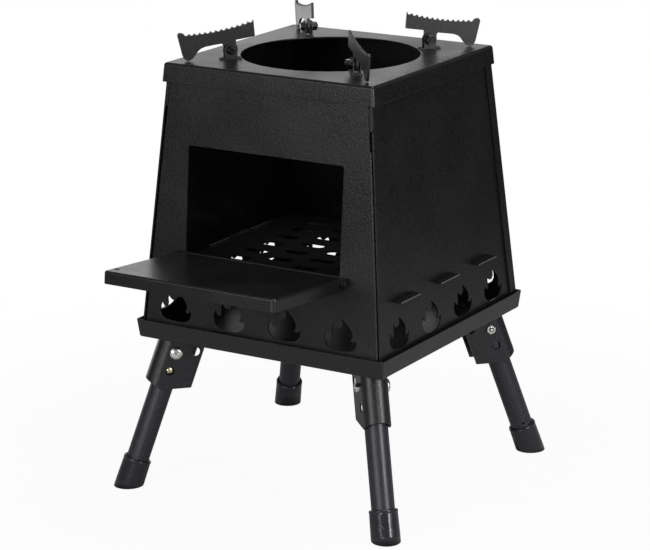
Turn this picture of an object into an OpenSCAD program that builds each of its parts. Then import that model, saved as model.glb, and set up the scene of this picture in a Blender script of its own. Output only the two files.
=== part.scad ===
// Folding rocket stove: a tapered sheet-metal body in a square tray on four folding legs,
// with a fuel door that stands open as a shelf and four toothed pot supports on a lift-off cap.
// Millimetres, +Z up, -Y is the front, the origin is on the stove's centre line at the ground.

/* [Stand] */
// Height of the tray's underside above the ground
stand_h = 150; // [144:0.5:170]
// Outward lean of the open legs from upright, in degrees
leg_lean = 19.5; // [15:0.5:21]
// Distance of each leg pivot from the centre line, along the diagonal
pivot_r = 157.5; // [155:0.5:161]
// Drop of each leg pivot below the tray
pivot_drop = 15.8; // [15.6:0.1:19]
// Outer diameter of the leg tubes
tube_d = 22; // [18:0.5:22.5]
// Wall of the leg tubes
tube_wall = 1.2; // [0.8:0.1:2]
// Length of tube above the pivot
tube_over = 7.5; // [6.5:0.1:7.8]
// Wall of the foot caps round the tube
foot_wall = 2.8; // [2:0.1:3]
// Length of the foot caps along the tube
foot_len = 29; // [22:1:40]
// Diameter of the leg pivot screws
leg_screw_d = 5; // [4:0.5:6]
// Diameter of the lock buttons
button_d = 8.5; // [6:0.5:9]
// Distance of the lock button from the pivot
button_off = 19; // [17:0.5:20]
// Travel of a lock button
button_travel = 2.6; // [2:0.1:2.8]

/* [Leg brackets] */
// Sheet of the leg brackets
bracket_sheet = 1.5; // [1:0.1:1.9]
// Height of the leg brackets
bracket_h = 51.7; // [45:0.1:60]
// Reach of the bracket cheeks inward from the leg's axis
cheek_in = 25; // [24:0.5:32]
// Reach of the bracket nose outward from the leg's axis
nose_out = 17.5; // [17.2:0.1:20]
// Flat width left at the tip of the bracket nose
nose_flat = 1.6; // [0.8:0.2:8]
// Width of the flanges that hold a bracket to the tray
bracket_flange = 9; // [8.5:0.5:11]
// Diameter of the tray rivets
tray_rivet_d = 4; // [3:0.5:5]

/* [Tray and body] */
// Outer width of the square tray
tray_w = 270; // [260:1:290]
// Outer height of the tray rim
tray_h = 18; // [12:0.5:19]
// Corner radius of the tray
tray_corner = 2.5; // [1:0.5:3]
// Outward flare of the tray's rim on each side
rim_flare = 2; // [0:0.1:3]
// Sheet thickness of tray, panels, cap, door and grate
sheet = 1.5; // [1:0.1:2]
// Height of the body panels
body_h = 262.4; // [255:0.1:300]
// Outer width of the body at the top of the panels
body_top_w = 221.2; // [214:0.2:232]
// Depth of the front panel's side flanges
front_flange = 10; // [6:0.5:16]
// Width of the back panel's wrapped flanges
back_flange = 12.5; // [8:0.5:18]
// Visible gap between the front panel and the side panels
seam = 1.3; // [0.6:0.1:2]
// Length of the hook tongues at the top of the side panels' front edges
tongue_len = 22; // [14:1:30]
// Length of the slots in the front panel that take the tongues
hook_slot_len = 42; // [36:1:60]
// Reach of a hook tongue past its side panel
hook_in = 2.2; // [1.5:0.1:2.4]

/* [Fuel opening and door] */
// Width of the fuel opening
open_w = 170; // [120:1:174]
// Height of the opening's lower edge above the tray's underside
open_low = 89; // [86:0.5:100]
// Height of the opening along the panel
open_h = 102; // [70:1:104]
// Corner radius of the fuel opening
open_corner = 2; // [1:0.5:6]
// Width of the fuel door
door_w = 185; // [177:1:188]
// Length of the fuel door from the panel to its front edge
door_len = 122; // [112:1:126]
// Depth of the door's skirts
door_skirt = 12; // [8:0.5:14]
// Distance of the door hinge out from the panel
hinge_out = 6; // [6:0.1:8]
// Depth of the door hinge below the door's upper face
hinge_low = 5; // [4.5:0.1:5]
// Diameter of the door pins
door_pin_d = 3; // [2:0.5:4]
// Diameter of the small hole near the door's front corner
door_hole_d = 5.5; // [3:0.5:7]

/* [Air holes] */
// Width of a flame-shaped air hole
flame_w = 35; // [24:1:40]
// Height of a flame-shaped air hole
flame_h = 30; // [22:1:32]
// Pitch of the air holes
flame_pitch = 61; // [50:1:64]
// Height of the air holes above the tray's underside
flame_low = 20; // [19:0.5:22]
// Shift of the front air holes to the left
flame_shift_front = 3; // [0:0.5:5]
// Shift of the side air holes to the front
flame_shift_side = 4.5; // [0:0.5:6]

/* [Fire grate] */
// Height of the grate's upper face above the tray's underside
grate_z = 65.7; // [60:0.1:74]
// Length of a grate tab
tab_len = 36; // [20:1:50]
// Pitch of the grate tabs
tab_pitch = 74.5; // [60:0.5:76]
// Shift of the grate tabs and slots to the front
grate_shift = 8; // [0:0.5:9]
// Reach of the grate tabs beyond the side panels
tab_out = 8; // [3:0.5:12]
// Room above each grate tab in its side-panel slot
tab_play = 0.6; // [0.4:0.1:4]
// Length of a grate slot
slot_len = 26; // [16:1:32]
// Width of a grate slot
slot_w = 12.4; // [3:0.2:14]
// Column pitch of the grate slots
slot_col = 38.5; // [36:0.5:40]
// Row pitch of the grate slots in one column
slot_row = 29.5; // [20:0.5:34]
// Shift of the grate slots to the front
slot_shift = 2; // [0:0.5:6]

/* [Cap] */
// Height of the cap's skirt
cap_h = 18; // [10:0.5:24]
// Diameter of the round hole in the cap
cap_hole_d = 171; // [120:1:174]

/* [Pot supports] */
// Thickness of a pot support
support_t = 2.5; // [1.5:0.1:3.5]
// Distance of the support bolts from the centre line, along the diagonal
support_r = 97; // [95:0.5:99]
// Height of the support bolts above the cap
support_z = 9; // [8.6:0.1:9.5]
// Reach of a pot support outward from its bolt
support_reach = 50.4; // [48:0.2:54]
// Diameter of the support bolts
support_bolt_d = 5; // [4:0.5:5.5]
// Pitch of the teeth
tooth_pitch = 5.1; // [4:0.1:5.2]
// Depth of the teeth
tooth_depth = 2; // [1:0.1:2.4]
// Height of the inner tooth above the cap
tooth_top = 36; // [34:0.5:42]
// Radius of the curved line on which the teeth lie
tooth_curve = 230; // [210:5:300]
// Outer width of a support bracket
ear_w = 8; // [7:0.1:9]
// Sheet of the support brackets
ear_sheet = 1.2; // [0.8:0.1:1.5]

/* [Clearances] */
// Gap between sheets that lie against each other
seat_gap = 0.3; // [0.2:0.05:0.5]
// Gap between the cap's skirt and the body
cap_gap = 2; // [0.4:0.1:3]
// Radial clearance of pins and screws in their holes
run_gap = 0.05; // [0.02:0.01:0.09]
// Gap each side between a leg tube and its bracket
cheek_gap = 0.3; // [0.2:0.05:0.5]

/* [Hidden] */
$fn = 48;

// A small overlap that makes cuts run past the faces they cut
past = 1;
// Turn of each corner about the centre line
fl = 225;
fr = 315;
br = 45;
bl = 135;
// Turn of each side about the centre line
front = 0;
right = 90;
back = 180;
left = 270;

// Heights
tray_floor = stand_h + sheet;
tray_rim = stand_h + tray_h;
body_low = tray_floor + seat_gap;
body_top = body_low + body_h;
cap_top = body_top + seat_gap + sheet;
cap_low = cap_top - cap_h;
grate_top = stand_h + grate_z;

// Taper of the body
body_half = tray_w / 2 - sheet - seat_gap;
taper_run = (body_half - body_top_w / 2) / body_h;
taper = atan(taper_run);
sheet_flat = sheet / cos(taper);
function half_at(z) = body_half - taper_run * (z - body_low);

// Front panel and back panel
front_inset = sheet_flat + seam;
front_half_off = -front_inset;
back_top = cap_low - seat_gap;
back_low = tray_rim + past;
hook_high = cap_low - past;
hook_low = hook_high - tongue_len;
hook_slot_low = hook_high + past - hook_slot_len;
hook_slot_deep = 0.8 * front_flange;

// Door, measured on the front panel: up the slope from its lower edge, and out from its face
door_v = (open_low - (body_low - stand_h)) / cos(taper);
door_top_z = stand_h + open_low;
hinge_v = door_v - hinge_low;
door_back = hinge_out - 2.3;
door_lobe = hinge_low + 0.4;
ear_lobe = hinge_low;
ear_u = door_w / 2 + seat_gap;
door_bend = 2;
door_hole_side = 6.5;
door_hole_front = 13;

// Fire grate
grate_gap = 0.4;
grate_half = half_at(grate_top) - front_inset - sheet_flat - grate_gap;
grate_deep = half_at(grate_top) - sheet_flat - grate_gap;
tab_reach = half_at(grate_top) + tab_out;
tab_slot_low = (grate_top - sheet - grate_gap - body_low) / cos(taper);
tab_slot_h = (sheet + grate_gap + tab_play) / cos(taper) + sheet * tan(taper);
slot_rows_half = floor((grate_deep - 4 - slot_w / 2 - slot_shift) / slot_row + 0.5);

// Leg geometry in the plane of a diagonal: n is out from the leg's axis, z is up
pivot_z = stand_h - pivot_drop;
leg_len = pivot_z / cos(leg_lean);
cheek_inner = tube_d / 2 + cheek_gap;
cheek_outer = cheek_inner + bracket_sheet;
nose_bend = cheek_outer - nose_flat / 2;
bracket_low = stand_h - bracket_h;
function on_line(n, z) = pivot_r + (n - (z - pivot_z) * sin(leg_lean)) / cos(leg_lean);
nose_up = 9.5;
nose_back = 15.5;
foot_r = tube_d / 2 + foot_wall;
foot_floor = 3;
foot_thin = leg_len - foot_r * tan(leg_lean);
tube_end = foot_thin - foot_floor;
foot_top = leg_len - foot_len;
leg_head_d = 13;
leg_head_t = 3.2;
leg_nut_af = 8;
leg_nut_t = 4;
button_gap = 0.15;
button_level = 0.1;
button_head_t = 1;
button_head_over = 1;
button_face = tube_d / 2 - button_level;
button_head_out = sqrt(pow(tube_d / 2 - tube_wall, 2) - pow(button_d / 2 + button_head_over, 2))
    - button_travel - seat_gap;
vent_d = 2.5;
vent_up = 4.5;
spring_t = 0.6;
spring_w = 8;
spring_top = button_off - 5;
spring_len = 38;

// Support brackets and hardware
ear_half = ear_w / 2;
ear_round = 6;
neck_r = support_z - ear_sheet - 0.7;
base_in = 10.5;
cap_rivet_d = 3;
cap_rivet_off = 8.2;
washer_d = 10.4;
washer_t = 1;
bolt_head_d = 9;
bolt_head_t = 3.2;
nut_af = 8;
nut_t = 4;
bolt_end = 1.2;
support_level = cap_top + support_z;

// Slab whose two sloping sides lie a set distance outside the body's left and right faces
module slab_x(off, z0, z1) {
    rotate([90, 0, 0])
        linear_extrude(height = 2 * tray_w, center = true)
            polygon([
                [-half_at(z0) - off, z0],
                [half_at(z0) + off, z0],
                [half_at(z1) + off, z1],
                [-half_at(z1) - off, z1]
            ]);
}

// Tapered block with its four faces a set distance outside the body's faces
module taper_block(off_x, off_y, z0, z1) {
    intersection() {
        slab_x(off_x, z0, z1);
        rotate([0, 0, 90]) slab_x(off_y, z0, z1);
    }
}

// Half of the space, on one side of the stove
module side_space(turn, from, z0, z1) {
    rotate([0, 0, turn])
        translate([-tray_w, -tray_w - from, z0]) cube([2 * tray_w, tray_w, z1 - z0]);
}

// Places children on a face of the body: x runs to the right, y up the slope, z outward
module on_face(turn) {
    rotate([0, 0, turn])
        translate([0, -body_half, body_low])
            rotate([90 - taper, 0, 0])
                children();
}

// Flame outline as parts of its width and height, from its base upward and round to the right
flame = [
    [0.00, 0.000], [0.20, 0.010], [0.37, 0.060], [0.465, 0.160], [0.50, 0.290], [0.515, 0.420],
    [0.43, 0.350], [0.345, 0.345], [0.315, 0.395], [0.355, 0.460], [0.365, 0.560], [0.315, 0.690],
    [0.215, 0.830], [0.10, 0.940], [0.00, 1.000], [0.055, 0.900], [0.050, 0.790], [-0.02, 0.705],
    [-0.12, 0.700], [-0.20, 0.770], [-0.245, 0.850], [-0.275, 0.720], [-0.255, 0.590], [-0.275, 0.480],
    [-0.335, 0.430], [-0.395, 0.490], [-0.455, 0.600], [-0.500, 0.450], [-0.500, 0.290], [-0.44, 0.150],
    [-0.33, 0.060], [-0.18, 0.010]
];

module flame_hole(u) {
    translate([u, (flame_low - (body_low - stand_h)) / cos(taper), -sheet - past])
        linear_extrude(height = sheet + 2 * past)
            polygon([for (p = flame) [p[0] * flame_w, p[1] * flame_h]]);
}

module flame_row(turn, shift) {
    on_face(turn)
        for (i = [-1.5:1:1.5]) flame_hole(i * flame_pitch + shift);
}

// Bar whose two long sides lean outward by a set amount over its height
module flared_bar(turn, w, length, lean_out, z0, z1) {
    rotate([90, 0, turn])
        linear_extrude(height = length, center = true)
            polygon([[-w / 2, z0], [w / 2, z0], [w / 2 + lean_out, z1], [-w / 2 - lean_out, z1]]);
}

// The tray with its flared rim
module base_tray() {
    r = tray_corner;
    lean_out = rim_flare / tray_h;
    inner_w = tray_w - 2 * sheet + 2 * sheet * lean_out;
    color([0.16, 0.16, 0.16]) difference() {
        union() {
            for (turn = [0, 90]) flared_bar(turn, tray_w, tray_w - 2 * r, rim_flare, stand_h, tray_rim);
            for (x = [-1, 1], y = [-1, 1])
                translate([x * (tray_w / 2 - r), y * (tray_w / 2 - r), stand_h])
                    cylinder(r1 = r, r2 = r + rim_flare, h = tray_h, $fn = 32);
        }
        intersection() {
            flared_bar(0, inner_w, 2 * tray_w, lean_out * (tray_h - sheet + past), tray_floor, tray_rim + past);
            flared_bar(90, inner_w, 2 * tray_w, lean_out * (tray_h - sheet + past), tray_floor, tray_rim + past);
        }
        at_tray_rivets() translate([0, 0, stand_h - past])
            cylinder(d = tray_rivet_d + 2 * run_gap, h = sheet + 2 * past);
    }
}

// Positions of the rivets through the bracket flanges and the tray
module at_tray_rivets() {
    for (turn = [fl, fr, br, bl], y = [-1, 1], x = [0, 1]) {
        rotate([0, 0, turn])
            translate([flange_mid(x), y * (cheek_outer + bracket_flange / 2), 0])
                children();
    }
}
function flange_from() = on_line(-cheek_in, stand_h) + 4;
function flange_to() = on_line(nose_out, stand_h) - nose_bend;
function flange_mid(x) = x == 0 ? flange_from() + 7 : flange_to() - 7;

// The front panel: face, side flanges, fuel opening and hinge ears
module front_panel() {
    color([0.17, 0.17, 0.175]) {
        difference() {
            taper_block(front_half_off, 0, body_low, body_top);
            difference() {
                taper_block(front_half_off - sheet_flat, -sheet_flat, body_low - past, body_top + past);
                side_space(front, 3 * tray_w, body_low, body_top);
            }
            front_cut();
            on_face(front) {
                translate([-open_w / 2 + open_corner, door_v, -front_flange])
                    cube([open_w - 2 * open_corner, open_h, 2 * front_flange]);
                translate([-open_w / 2, door_v + open_corner, -front_flange])
                    cube([open_w, open_h - 2 * open_corner, 2 * front_flange]);
                for (x = [-1, 1], y = [0, 1]) {
                    translate([x * (open_w / 2 - open_corner),
                        door_v + open_corner + y * (open_h - 2 * open_corner), -front_flange])
                        cylinder(r = open_corner, h = 2 * front_flange, $fn = 24);
                }
            }
            flame_row(front, -flame_shift_front);
            hook_slots();
        }
        for (side = [-1, 1]) hinge_ear(side);
    }
}

// All that lies behind the front panel's flanges
module front_cut() {
    difference() {
        translate([-tray_w, -tray_w, body_low - past]) cube([2 * tray_w, 2 * tray_w, body_h + 2 * past]);
        rotate([0, 0, 90])
            translate([0, 0, 0]) front_band();
    }
}

// The band along the front face that the flanges fill
module front_band() {
    rotate([90, 0, 0])
        linear_extrude(height = 2 * tray_w, center = true)
            polygon([
                [-half_at(body_low - past) - past, body_low - past],
                [-half_at(body_low - past) + front_flange, body_low - past],
                [-half_at(body_top + past) + front_flange, body_top + past],
                [-half_at(body_top + past) - past, body_top + past]
            ]);
}

// Slots at the front panel's upper side edges that the side panels' tongues hook into
module hook_slots() {
    for (side = [0, 1]) mirror([side, 0, 0])
        difference() {
            taper_block(2 * sheet, 2 * sheet, hook_slot_low, hook_high + 1);
            taper_block(-sheet_flat - hook_in - seat_gap, 4 * sheet, hook_slot_low - past, hook_high + 2 * past);
            translate([-2 * tray_w, -tray_w, hook_slot_low - past]) cube([2 * tray_w, 2 * tray_w, tray_w]);
            translate([0, 0, hook_slot_low - past]) linear_extrude(height = tray_w)
                polygon([[0, -half_at(hook_slot_low) + hook_slot_deep], [tray_w, -half_at(hook_slot_low) + hook_slot_deep],
                    [tray_w, tray_w], [0, tray_w]]);
        }
}

// Ear that carries one door pin
module hinge_ear(side) {
    on_face(front)
        translate([side * (ear_u + sheet / 2) - sheet / 2, hinge_v, 0])
            rotate([90, 0, 90])
                difference() {
                    linear_extrude(height = sheet) {
                        translate([0, hinge_out]) circle(r = ear_lobe, $fn = 32);
                        translate([-ear_lobe, 0]) square([2 * ear_lobe, hinge_out]);
                    }
                    translate([0, hinge_out, -past])
                        cylinder(d = door_pin_d + 2 * run_gap, h = sheet + 2 * past);
                }
}

// The back panel, whose flanges wrap round the side panels
module back_panel() {
    color([0.15, 0.15, 0.15]) difference() {
        union() {
            // Face between the tray and the top
            intersection() {
                difference() {
                    taper_block(0, 0, body_low, body_top);
                    taper_block(tray_w, -sheet_flat, body_low - past, body_top + past);
                }
                translate([-tray_w, 0, 0]) cube([2 * tray_w, tray_w, body_top + past]);
            }
            // Wrapped flanges
            intersection() {
                difference() {
                    taper_block(seat_gap + sheet_flat, 0, back_low, back_top);
                    taper_block(seat_gap, -sheet_flat, back_low - past, back_top + past);
                }
                rotate([0, 0, 90]) back_band();
            }
        }
        flame_row(back, 0);
    }
}

// The band along the back face that the wrapped flanges fill
module back_band() {
    rotate([90, 0, 0])
        linear_extrude(height = 2 * tray_w, center = true)
            polygon([
                [half_at(back_low) - back_flange, back_low],
                [half_at(back_low) + past, back_low],
                [half_at(back_top) + past, back_top],
                [half_at(back_top) - back_flange, back_top]
            ]);
}

// A side panel, drawn on the right
module side_panel(shift) {
    difference() {
        intersection() {
            difference() {
                taper_block(0, 0, body_low, body_top);
                taper_block(-sheet_flat, tray_w, body_low - past, body_top + past);
            }
            translate([0, -tray_w, 0]) cube([tray_w, 2 * tray_w, body_top + past]);
            taper_y_front();
        }
        flame_row(right, shift);
        on_face(right)
            for (i = [-1:1:1])
                translate([i * tab_pitch - grate_shift - tab_len / 2 - grate_gap, tab_slot_low, -sheet - past])
                    cube([tab_len + 2 * grate_gap, tab_slot_h, sheet + 2 * past]);
    }
    hook_tongue();
}

// Keeps a side panel clear of the back panel's face
module taper_y_front() {
    rotate([0, 0, 90])
        rotate([90, 0, 0])
            linear_extrude(height = 2 * tray_w, center = true)
                polygon([
                    [-tray_w, body_low],
                    [half_at(body_low) - sheet_flat - seat_gap, body_low],
                    [half_at(body_top) - sheet_flat - seat_gap, body_top],
                    [-tray_w, body_top]
                ]);
}

// Tongue on a side panel's front edge that hooks into the front panel's slot
module hook_tongue() {
    intersection() {
        difference() {
            taper_block(-sheet_flat / 2, 0, hook_low, hook_high);
            taper_block(-sheet_flat - hook_in, -sheet_flat, hook_low - past, hook_high + past);
        }
        difference() {
            translate([0, -tray_w, 0]) cube([tray_w, tray_w, body_top]);
            taper_block(-sheet_flat - hook_in, tray_w, hook_low - past, hook_high + past);
            taper_block(tray_w, -sheet_flat, hook_low - past, hook_high + past);
        }
    }
}

module right_panel() {
    color([0.11, 0.11, 0.105]) side_panel(-flame_shift_side);
}

module left_panel() {
    color([0.11, 0.11, 0.105]) mirror([1, 0, 0]) side_panel(-flame_shift_side);
}

// The cap with its skirt, hole and rivet holes
module top_plate() {
    color([0.33, 0.33, 0.33]) difference() {
        taper_block(cap_gap + sheet_flat, cap_gap + sheet_flat, cap_low, cap_top);
        taper_block(cap_gap, cap_gap, cap_low - past, cap_top - sheet);
        translate([0, 0, cap_low]) cylinder(d = cap_hole_d, h = cap_h + past, $fn = 96);
        at_cap_rivets() translate([0, 0, cap_top - sheet - past])
            cylinder(d = cap_rivet_d + 2 * run_gap, h = sheet + 2 * past, $fn = 24);
    }
}

module at_cap_rivets() {
    for (turn = [fl, fr, br, bl], x = [-1, 1]) {
        rotate([0, 0, turn]) translate([support_r + x * cap_rivet_off, 0, 0]) children();
    }
}

// The fire grate with its tabs and staggered slots
module fire_grate() {
    color([0.13, 0.13, 0.13]) translate([0, 0, grate_top - sheet])
        linear_extrude(height = sheet)
            difference() {
                union() {
                    square([2 * grate_half, 2 * grate_deep], center = true);
                    for (i = [-1:1:1])
                        translate([-tab_reach, i * tab_pitch - grate_shift - tab_len / 2])
                            square([2 * tab_reach, tab_len]);
                }
                for (k = [-slot_rows_half:1:slot_rows_half - 1], c = [-2, 0, 2])
                    grate_slot(c * slot_col, (k + 0.5) * slot_row - slot_shift);
                for (k = [1 - slot_rows_half:1:slot_rows_half - 1], c = [-1, 1])
                    grate_slot(c * slot_col, k * slot_row - slot_shift);
            }
}

module grate_slot(x, y) {
    translate([x, y]) {
        square([slot_len - slot_w, slot_w], center = true);
        for (s = [-1, 1]) translate([s * (slot_len - slot_w) / 2, 0]) circle(d = slot_w, $fn = 24);
    }
}

// The fuel door, open as a shelf
module fuel_door() {
    color([0.14, 0.14, 0.14]) on_face(front) {
        difference() {
            union() {
                // Plate and front skirt, with a rounded bend between them
                rotate([90, 0, 90])
                    linear_extrude(height = door_w - 2 * sheet, center = true)
                        difference() {
                            union() {
                                translate([door_v - sheet, door_back])
                                    square([sheet, door_len - door_bend - door_back]);
                                translate([door_v - door_skirt, door_len - sheet])
                                    square([door_skirt - door_bend, sheet]);
                                translate([door_v - door_bend, door_len - door_bend]) circle(r = door_bend, $fn = 32);
                            }
                            translate([door_v - door_bend - 2 * sheet, door_len - door_bend - 2 * sheet])
                                square([2 * sheet + door_bend - sheet, 2 * sheet + door_bend - sheet]);
                        }
                for (side = [-1, 1]) door_side(side);
            }
            translate([-door_w / 2 + door_hole_side, door_v - door_skirt, door_len - door_hole_front])
                rotate([-90, 0, 0]) cylinder(d = door_hole_d, h = 2 * door_skirt);
            translate([0, hinge_v, hinge_out])
                rotate([0, 90, 0]) cylinder(d = door_pin_d + 2 * run_gap, h = 2 * door_w, center = true);
        }
    }
}

// One side skirt of the door with its hinge lobe and the tail that rests on the front panel
module door_side(side) {
    translate([side * (door_w / 2 - sheet / 2), 0, 0])
        rotate([90, 0, 90])
            linear_extrude(height = sheet, center = true) {
                translate([hinge_v, hinge_out]) circle(r = door_lobe, $fn = 40);
                translate([hinge_v, hinge_out]) square([hinge_low, door_len - hinge_out - door_bend]);
                translate([door_v - door_skirt, hinge_out])
                    square([door_skirt - hinge_low + past, door_len - hinge_out - door_bend]);
                translate([door_v - door_skirt + door_bend, seat_gap])
                    square([door_skirt - hinge_low - door_bend, hinge_out]);
                translate([door_v - door_skirt + door_bend, seat_gap + door_bend])
                    circle(r = door_bend, $fn = 32);
                translate([door_v - door_skirt, seat_gap + door_bend])
                    square([door_bend + past, hinge_out]);
                translate([door_v - door_bend, door_len - door_bend]) circle(r = door_bend, $fn = 32);
                translate([door_v - door_skirt, door_len - door_bend - past])
                    square([door_skirt - door_bend, door_bend + past]);
            }
}

// The two door pins with a head at each end
module door_pins() {
    color([0.5, 0.5, 0.5]) for (side = [0, 1]) mirror([side, 0, 0])
        on_face(front)
            translate([door_w / 2 - sheet, hinge_v, hinge_out])
                rotate([0, 90, 0]) {
                    translate([0, 0, -seat_gap - 1]) cylinder(d = door_pin_d + 2, h = 1, $fn = 32);
                    translate([0, 0, -seat_gap - 1]) cylinder(d = door_pin_d, h = 2 * sheet + 2 * seat_gap + 2);
                    translate([0, 0, 2 * sheet + seat_gap]) cylinder(d = door_pin_d + 3, h = 1.2, $fn = 32);
                }
}

// Rivets through the tray and the leg brackets
module tray_rivets() {
    color([0.3, 0.3, 0.3]) at_tray_rivets() {
        translate([0, 0, stand_h - bracket_sheet]) cylinder(d = tray_rivet_d, h = bracket_sheet + sheet);
        translate([0, 0, tray_floor]) cylinder(d1 = tray_rivet_d + 3, d2 = tray_rivet_d + 1, h = 1.2, $fn = 32);
        translate([0, 0, stand_h - bracket_sheet - 1])
            cylinder(d1 = tray_rivet_d + 1, d2 = tray_rivet_d + 2.4, h = 1, $fn = 32);
    }
}

// Rivets through the cap and the support brackets
module cap_rivets() {
    color([0.45, 0.45, 0.45]) at_cap_rivets() {
        translate([0, 0, cap_top - sheet]) cylinder(d = cap_rivet_d, h = sheet + ear_sheet, $fn = 24);
        translate([0, 0, cap_top + ear_sheet])
            cylinder(d1 = cap_rivet_d + 1.6, d2 = cap_rivet_d, h = 0.8, $fn = 24);
        translate([0, 0, cap_top - sheet - 0.8])
            cylinder(d1 = cap_rivet_d, d2 = cap_rivet_d + 1.6, h = 0.8, $fn = 24);
    }
}

// A pot support in the plane of its diagonal, x out from the centre line and y up from the cap
tooth_n = 12;
tooth_r0 = support_r - 22;
tooth_r1 = tooth_r0 + tooth_n * tooth_pitch;
tooth_mid_r = tooth_r1 + 8;
tooth_mid_z = tooth_top + sqrt(pow(tooth_curve, 2) - pow(tooth_mid_r - tooth_r0, 2));
function tooth_z(r) = tooth_mid_z - sqrt(pow(tooth_curve, 2) - pow(tooth_mid_r - r, 2));
scallop_r = (pow(tooth_pitch / 2, 2) + pow(tooth_depth, 2)) / (2 * tooth_depth);
tip_flat = 0.35;

// Lower edge of a pot support as parts of its reach and height: the inner corner, then the
// arch, the foot and the outer end
support_inner = [[-0.468, 0.589], [-0.454, 0.572]];
support_foot = [
    [0.165, 0.417], [0.337, 0.386], [0.476, 0.356], [0.556, 0.314], [0.615, 0.244], [0.663, 0.150],
    [0.714, 0.061], [0.758, 0.025], [0.800, 0.000], [0.843, 0.022], [0.885, 0.078], [0.913, 0.167],
    [1.000, 0.672], [0.990, 0.722], [0.964, 0.747], [0.925, 0.744], [0.893, 0.728]
];
neck_in = neck_r - 1.7;
neck_top = 0.5;
foot_arch = 0.378;

module support_outline() {
    difference() {
        union() {
            polygon([
                for (p = support_inner) [support_r + p[0] * support_reach, p[1] * tooth_top],
                [support_r - neck_in, neck_top * tooth_top],
                [support_r - neck_in, 0],
                [support_r + neck_r, 0],
                [support_r + neck_r, foot_arch * tooth_top],
                for (p = support_foot) [support_r + p[0] * support_reach, max(p[1] * tooth_top, seat_gap)],
                [tooth_r1 + tooth_pitch / 2, tooth_z(tooth_r1) - tooth_depth / 2],
                for (i = [tooth_n:-1:0]) for (s = [1, -1])
                    [tooth_r0 + i * tooth_pitch + s * tip_flat, tooth_z(tooth_r0 + i * tooth_pitch)]
            ]);
            translate([support_r, support_z]) circle(r = neck_r, $fn = 40);
        }
        // Below the bolt only the rounded neck is left
        difference() {
            translate([support_r - 12, -past]) square([24, support_z + past]);
            translate([support_r, support_z]) circle(r = neck_r, $fn = 40);
        }
        for (i = [0:tooth_n - 1]) scallop(i);
        scallop(tooth_n);
    }
}

// One hollow between two teeth
module scallop(i) {
    r = tooth_r0 + (i + 0.5) * tooth_pitch;
    translate([r, (tooth_z(r - tooth_pitch / 2) + tooth_z(r + tooth_pitch / 2)) / 2 - tooth_depth + scallop_r])
        circle(r = scallop_r - tip_flat, $fn = 32);
}

module pot_support(turn) {
    color([0.19, 0.19, 0.2]) rotate([0, 0, turn])
        translate([0, 0, cap_top])
            rotate([90, 0, 0])
                difference() {
                    linear_extrude(height = support_t, center = true) support_outline();
                    translate([support_r, support_z, 0])
                        cylinder(d = support_bolt_d + 2 * run_gap, h = support_t + 2 * past, center = true);
                }
}

// U-shaped bracket that carries a pot support's bolt
module support_bracket(turn) {
    color([0.16, 0.16, 0.16]) rotate([0, 0, turn]) translate([support_r, 0, cap_top])
        difference() {
            union() {
                translate([-base_in, -ear_half, 0]) cube([2 * base_in, ear_w, ear_sheet]);
                for (s = [-1, 1]) translate([0, s * (ear_half - ear_sheet / 2), 0])
                    rotate([90, 0, 0])
                        linear_extrude(height = ear_sheet, center = true) {
                            translate([-ear_round, 0]) square([2 * ear_round, support_z]);
                            translate([0, support_z]) circle(r = ear_round, $fn = 40);
                        }
            }
            translate([0, 0, support_z]) rotate([90, 0, 0])
                cylinder(d = support_bolt_d + 2 * run_gap, h = 2 * ear_w, center = true);
            for (x = [-1, 1]) translate([x * cap_rivet_off, 0, -past])
                cylinder(d = cap_rivet_d + 2 * run_gap, h = ear_sheet + 2 * past, $fn = 24);
        }
}

// Bolt with its head on the far side of the bracket, round the ring
module support_bolt(turn) {
    length = ear_w + washer_t + nut_t + bolt_end;
    color([0.6, 0.6, 0.6]) rotate([0, 0, turn]) translate([support_r, 0, support_level])
        rotate([90, 0, 0]) {
            translate([0, 0, -ear_half]) cylinder(d = support_bolt_d, h = length);
            translate([0, 0, -ear_half - bolt_head_t])
                cylinder(d1 = bolt_head_d - 2.4, d2 = bolt_head_d, h = bolt_head_t, $fn = 40);
        }
}

// Washer and nut, two solids
module support_nut(turn) {
    color([0.55, 0.55, 0.55]) rotate([0, 0, turn]) translate([support_r, 0, support_level])
        rotate([90, 0, 0]) {
            translate([0, 0, ear_half]) difference() {
                cylinder(d = washer_d, h = washer_t, $fn = 40);
                translate([0, 0, -past]) cylinder(d = support_bolt_d + 2 * run_gap, h = washer_t + 2 * past);
            }
            translate([0, 0, ear_half + washer_t + run_gap]) hex_nut(nut_af, nut_t, support_bolt_d);
        }
}

module hex_nut(af, t, d) {
    difference() {
        intersection() {
            cylinder(r = af / sqrt(3), h = t, $fn = 6);
            cylinder(r1 = af / sqrt(3), r2 = af / 2 + 0.1, h = 3 * t, $fn = 40);
        }
        translate([0, 0, -past]) cylinder(d = d + 2 * run_gap, h = t + 2 * past);
    }
}

// Places children at a leg pivot: x out from the leg's axis, y round the ring, z up the leg
module at_leg(turn) {
    rotate([0, 0, turn]) translate([pivot_r, 0, pivot_z]) rotate([0, -leg_lean, 0]) children();
}

// Side view of a leg bracket
module bracket_side() {
    polygon([
        [on_line(-cheek_in, stand_h), stand_h],
        [on_line(nose_out, stand_h), stand_h],
        [on_line(nose_out, bracket_low + nose_up), bracket_low + nose_up],
        [on_line(nose_out, bracket_low) - nose_back, bracket_low],
        [on_line(-cheek_in, bracket_low), bracket_low]
    ]);
}

// Section of the bracket's channel across the leg
module channel_section(half, nose, r) {
    translate([-2 * cheek_in, -half]) square([2 * cheek_in + nose - r, 2 * half]);
    translate([-2 * cheek_in, -half + r]) square([2 * cheek_in + nose, 2 * half - 2 * r]);
    for (s = [-1, 1]) translate([nose - r, s * (half - r)]) circle(r = r, $fn = 40);
}

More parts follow.
